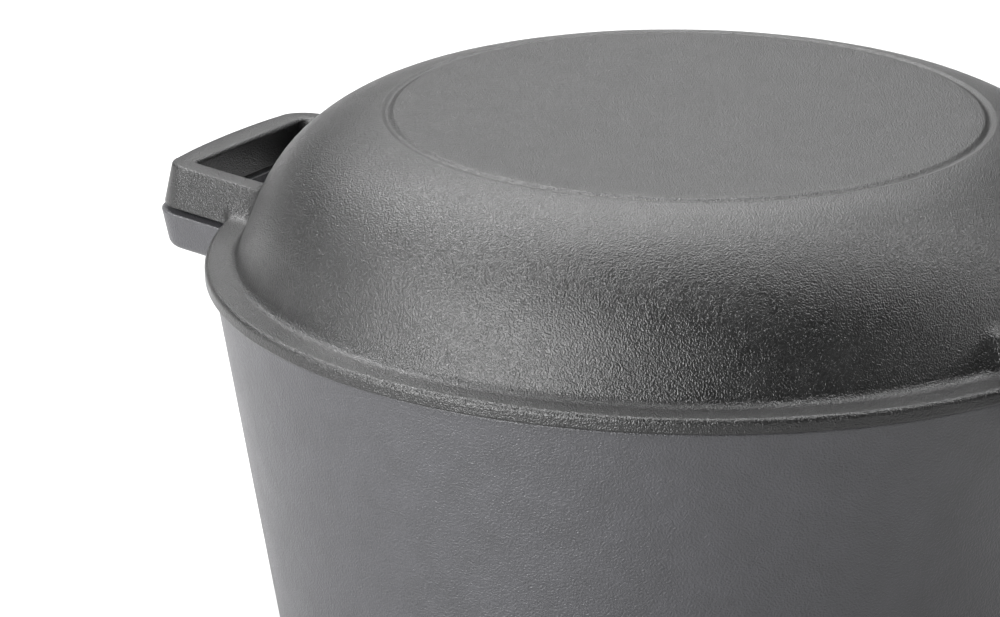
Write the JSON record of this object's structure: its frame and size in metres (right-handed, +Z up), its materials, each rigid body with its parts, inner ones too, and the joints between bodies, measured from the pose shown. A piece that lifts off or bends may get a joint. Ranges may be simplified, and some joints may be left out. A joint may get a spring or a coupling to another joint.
{
  "type": "cast iron dutch oven",
  "caption": "Round tapered cast iron pot with a shallow domed skillet turned upside down as its lid; both castings have short loop handles.",
  "frame": {"origin": "centre of the pot's flat base, on the surface that it stands on", "axes": "+Z up along the pot's axis, +X through the handles, +Y across them"},
  "size_m": [0.3228, 0.2678, 0.1703],
  "materials": {
    "pot_iron": "seasoned iron, fine satin casting skin",
    "lid_iron": "seasoned iron, pebbled sand-cast skin"
  },
  "bodies": {
    "pot": {"pot": "pot_iron"},
    "lid": {"skillet_lid": "lid_iron"}
  },
  "joints": [
    {"name": "lid_lift", "type": "slide", "parent": "pot", "child": "lid", "axis": [0, 0, 1], "range_m": [0, 0.15]}
  ]
}
